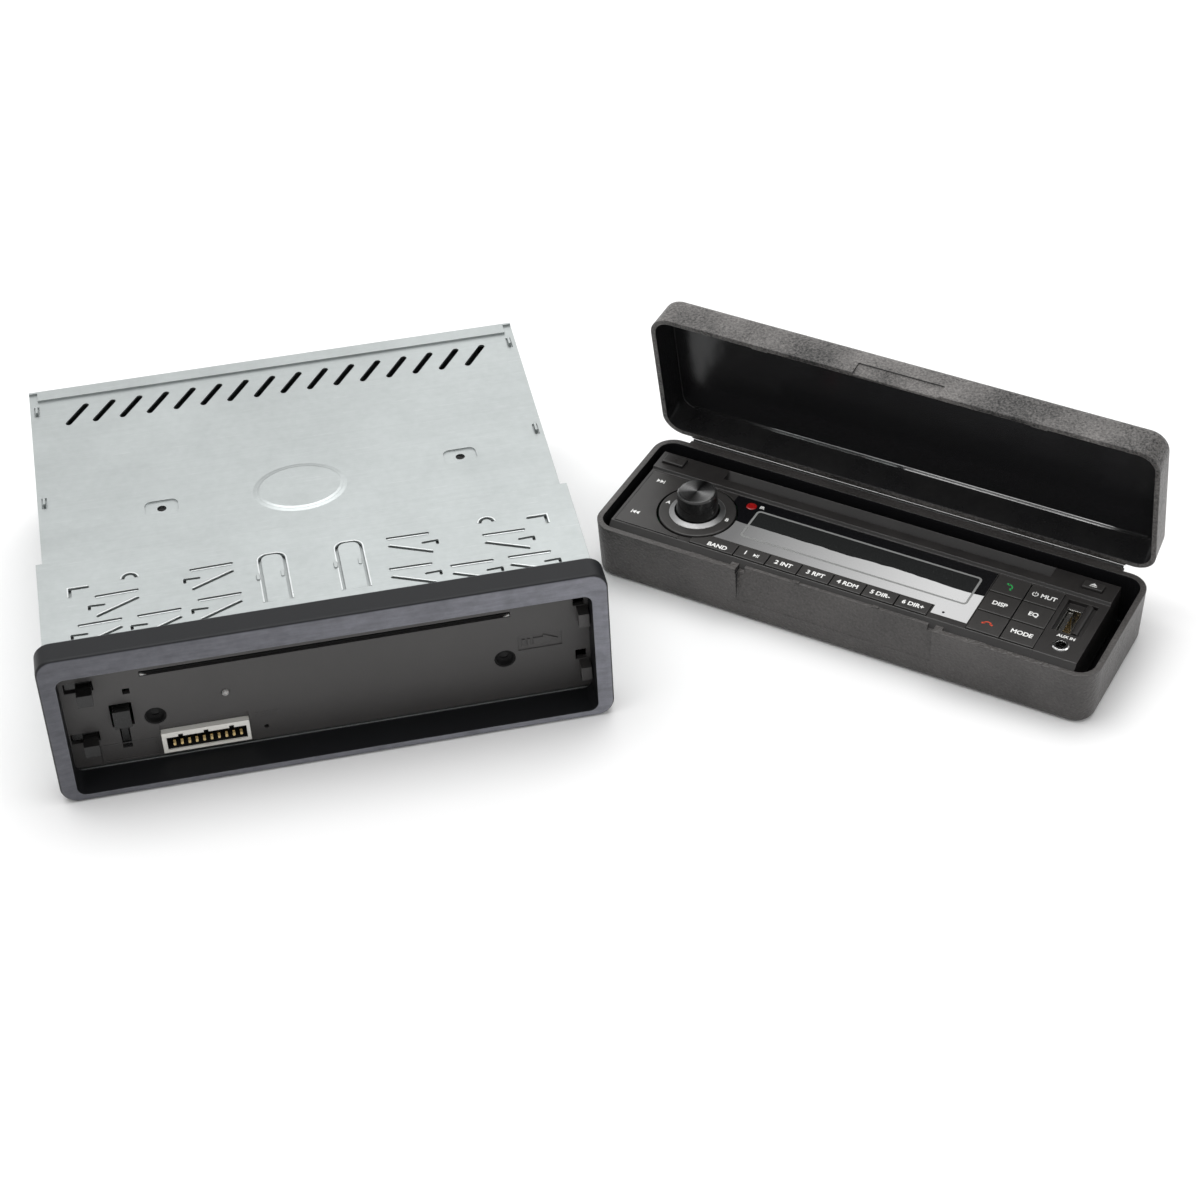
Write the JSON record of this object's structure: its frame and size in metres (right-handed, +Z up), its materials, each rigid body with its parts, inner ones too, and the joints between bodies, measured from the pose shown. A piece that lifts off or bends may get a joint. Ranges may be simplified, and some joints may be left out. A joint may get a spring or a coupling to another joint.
{
  "type": "car radio",
  "caption": "Single-DIN car radio head unit in its mounting sleeve, with its detachable control face lying in an open carrying case.",
  "frame": {"origin": "centre of the dashboard opening, on the plane of the dash, behind the trim ring", "axes": "+X to the radio's right as the driver sees it, +Y into the dash, +Z up"},
  "size_m": [0.3844, 0.2148, 0.0824],
  "materials": {
    "zinc_sheet": "zinc-plated sheet, dull sheen",
    "deck_steel": "plated steel",
    "sink_aluminium": "extruded, plain",
    "trim_plastic": "fine spark texture, blue-grey sheen",
    "nose_plastic": "matt moulding",
    "hook_plastic": "smooth moulding",
    "socket_plastic": "smooth moulding",
    "socket_metal": "nickel plate",
    "link_white": "off-white moulding",
    "contact_gold": "gold flash",
    "lamp_lens": "diffusing lens",
    "ir_red": "dark red filter",
    "turntable_plastic": "moulded",
    "roller_rubber": "ground rubber",
    "board_green": "solder-resist board",
    "chip_black": "epoxy",
    "can_sleeve": "shrink sleeve",
    "case_plastic": "coarse leather-like mould texture outside, gloss inside the lid",
    "face_plastic": "satin moulding",
    "key_plastic": "satin keys with printed legends",
    "window_glass": "dark polished window",
    "lcd_glass": "display glass and backlight frame",
    "knob_plastic": "smooth black",
    "spun_metal": "spun finish, dark anodised",
    "bright_chrome": "bright plate"
  },
  "bodies": {
    "head_unit": {"chassis_tray": "zinc_sheet", "top_cover": "zinc_sheet", "rear_panel": "zinc_sheet", "heat_sink": "sink_aluminium", "power_socket": "socket_plastic", "antenna_socket": "socket_metal", "rear_stud": "deck_steel", "mounting_sleeve": "zinc_sheet", "trim_ring": "trim_plastic", "front_nose": "nose_plastic", "panel_hooks": "hook_plastic", "connector_shell": "link_white", "connector_pins": "contact_gold", "security_led": "lamp_lens", "deck_frame": "deck_steel", "spindle_motor": "socket_metal", "guide_rods": "deck_steel", "main_board": "board_green", "amplifier_chip": "chip_black", "capacitors": "can_sleeve", "cover_screws": "deck_steel"},
    "eject_lever": {"eject_lever": "hook_plastic"},
    "reset_button": {"reset_button": "hook_plastic"},
    "turntable": {"turntable": "turntable_plastic"},
    "pickup_sled": {"pickup_sled": "turntable_plastic"},
    "lead_screw": {"lead_screw": "deck_steel"},
    "feed_roller": {"feed_roller": "roller_rubber"},
    "case_base": {"case_base": "case_plastic"},
    "case_lid": {"case_lid": "case_plastic"},
    "face": {"face_front": "face_plastic", "face_back": "face_plastic", "face_contacts": "contact_gold", "face_board": "board_green", "lcd_panel": "lcd_glass", "display_window": "window_glass", "ir_window": "ir_red", "encoder": "chip_black", "usb_socket": "socket_metal", "aux_jack": "bright_chrome"},
    "volume_knob": {"volume_knob": "knob_plastic", "knob_cap": "spun_metal"},
    "knob_ring": {"knob_ring": "key_plastic", "ring_trim": "bright_chrome"},
    "track_rocker": {"track_rocker": "key_plastic"},
    "eject_key": {"eject_key": "key_plastic"},
    "release_button": {"release_button": "key_plastic"},
    "usb_shutter": {"usb_shutter": "key_plastic"},
    "band_key": {"band_key": "key_plastic"},
    "preset_key_1": {"preset_key_1": "key_plastic"},
    "preset_key_2": {"preset_key_2": "key_plastic"},
    "preset_key_3": {"preset_key_3": "key_plastic"},
    "preset_key_4": {"preset_key_4": "key_plastic"},
    "preset_key_5": {"preset_key_5": "key_plastic"},
    "preset_key_6": {"preset_key_6": "key_plastic"},
    "call_key": {"call_key": "key_plastic"},
    "end_key": {"end_key": "key_plastic"},
    "mute_key": {"mute_key": "key_plastic"},
    "display_key": {"display_key": "key_plastic"},
    "eq_key": {"eq_key": "key_plastic"},
    "mode_key": {"mode_key": "key_plastic"}
  },
  "joints": [
    {"name": "case_place", "type": "slide", "parent": "head_unit", "child": "case_base", "axis": [1, 0, 0], "range_m": [0, 0.06]},
    {"name": "lid_hinge", "type": "hinge", "parent": "case_base", "child": "case_lid", "pos_m": [0.21215, 0.0481, -0.0061], "axis": [-0.7683, 0.6401, 0], "range_deg": [-80, 0]},
    {"name": "face_lift", "type": "slide", "parent": "case_base", "child": "face", "axis": [0, 0, 1], "range_m": [0, 0.035]},
    {"name": "volume_turn", "type": "hinge", "parent": "face", "child": "volume_knob", "pos_m": [0.14034, 0.06205, -0.0045], "axis": [0, 0, 1], "continuous": true},
    {"name": "ring_rock", "type": "hinge", "parent": "face", "child": "knob_ring", "pos_m": [0.14034, 0.06205, -0.0095], "axis": [0.6401, 0.7683, 0], "range_deg": [-1.5, 1.5], "stiffness_Nm_per_rad": 0.3},
    {"name": "track_rock", "type": "hinge", "parent": "face", "child": "track_rocker", "pos_m": [0.13055, 0.0689, -0.0095], "axis": [0.7683, -0.6401, 0], "range_deg": [-1.5, 1.5], "stiffness_Nm_per_rad": 0.3},
    {"name": "eject_press", "type": "slide", "parent": "face", "child": "eject_key", "axis": [0, 0, -1], "range_m": [0, 0.0008], "stiffness_N_per_m": 300},
    {"name": "release_press", "type": "slide", "parent": "face", "child": "release_button", "axis": [0, 0, -1], "range_m": [0, 0.0015], "stiffness_N_per_m": 300},
    {"name": "usb_cover_slide", "type": "slide", "parent": "face", "child": "usb_shutter", "axis": [-0.7683, 0.6401, 0], "range_m": [0, 0.0056]},
    {"name": "push_off_lever", "type": "hinge", "parent": "head_unit", "child": "eject_lever", "pos_m": [-0.07, 0.0037, -0.0184], "axis": [-1, 0, 0], "range_deg": [0, 7], "stiffness_Nm_per_rad": 0.05},
    {"name": "reset_press", "type": "slide", "parent": "head_unit", "child": "reset_button", "axis": [0, 1, 0], "range_m": [0, 0.0005], "stiffness_N_per_m": 200},
    {"name": "turntable_spin", "type": "hinge", "parent": "head_unit", "child": "turntable", "pos_m": [0, 0.07, 0.005], "axis": [0, 0, 1], "continuous": true},
    {"name": "sled_slide", "type": "slide", "parent": "head_unit", "child": "pickup_sled", "axis": [1, 0, 0], "range_m": [0, 0.026]},
    {"name": "screw_spin", "type": "hinge", "parent": "head_unit", "child": "lead_screw", "pos_m": [0.04, 0.052, 0], "axis": [1, 0, 0], "range_deg": [0, 3125]},
    {"name": "roller_spin", "type": "hinge", "parent": "head_unit", "child": "feed_roller", "pos_m": [0, 0.022, 0.0076], "axis": [1, 0, 0], "continuous": true},
    {"name": "band_press", "type": "slide", "parent": "face", "child": "band_key", "axis": [0, 0, -1], "range_m": [0, 0.0006], "stiffness_N_per_m": 300},
    {"name": "preset_key_1_press", "type": "slide", "parent": "face", "child": "preset_key_1", "axis": [0, 0, -1], "range_m": [0, 0.0006], "stiffness_N_per_m": 300},
    {"name": "preset_key_2_press", "type": "slide", "parent": "face", "child": "preset_key_2", "axis": [0, 0, -1], "range_m": [0, 0.0006], "stiffness_N_per_m": 300},
    {"name": "preset_key_3_press", "type": "slide", "parent": "face", "child": "preset_key_3", "axis": [0, 0, -1], "range_m": [0, 0.0006], "stiffness_N_per_m": 300},
    {"name": "preset_key_4_press", "type": "slide", "parent": "face", "child": "preset_key_4", "axis": [0, 0, -1], "range_m": [0, 0.0006], "stiffness_N_per_m": 300},
    {"name": "preset_key_5_press", "type": "slide", "parent": "face", "child": "preset_key_5", "axis": [0, 0, -1], "range_m": [0, 0.0006], "stiffness_N_per_m": 300},
    {"name": "preset_key_6_press", "type": "slide", "parent": "face", "child": "preset_key_6", "axis": [0, 0, -1], "range_m": [0, 0.0006], "stiffness_N_per_m": 300},
    {"name": "call_press", "type": "slide", "parent": "face", "child": "call_key", "axis": [0, 0, -1], "range_m": [0, 0.0006], "stiffness_N_per_m": 300},
    {"name": "end_press", "type": "slide", "parent": "face", "child": "end_key", "axis": [0, 0, -1], "range_m": [0, 0.0006], "stiffness_N_per_m": 300},
    {"name": "mute_press", "type": "slide", "parent": "face", "child": "mute_key", "axis": [0, 0, -1], "range_m": [0, 0.0006], "stiffness_N_per_m": 300},
    {"name": "display_press", "type": "slide", "parent": "face", "child": "display_key", "axis": [0, 0, -1], "range_m": [0, 0.0006], "stiffness_N_per_m": 300},
    {"name": "eq_press", "type": "slide", "parent": "face", "child": "eq_key", "axis": [0, 0, -1], "range_m": [0, 0.0006], "stiffness_N_per_m": 300},
    {"name": "mode_press", "type": "slide", "parent": "face", "child": "mode_key", "axis": [0, 0, -1], "range_m": [0, 0.0006], "stiffness_N_per_m": 300}
  ],
  "couplings": [
    {"joint": "screw_spin", "follows": "sled_slide", "rad_per_m": 2094.4}
  ]
}
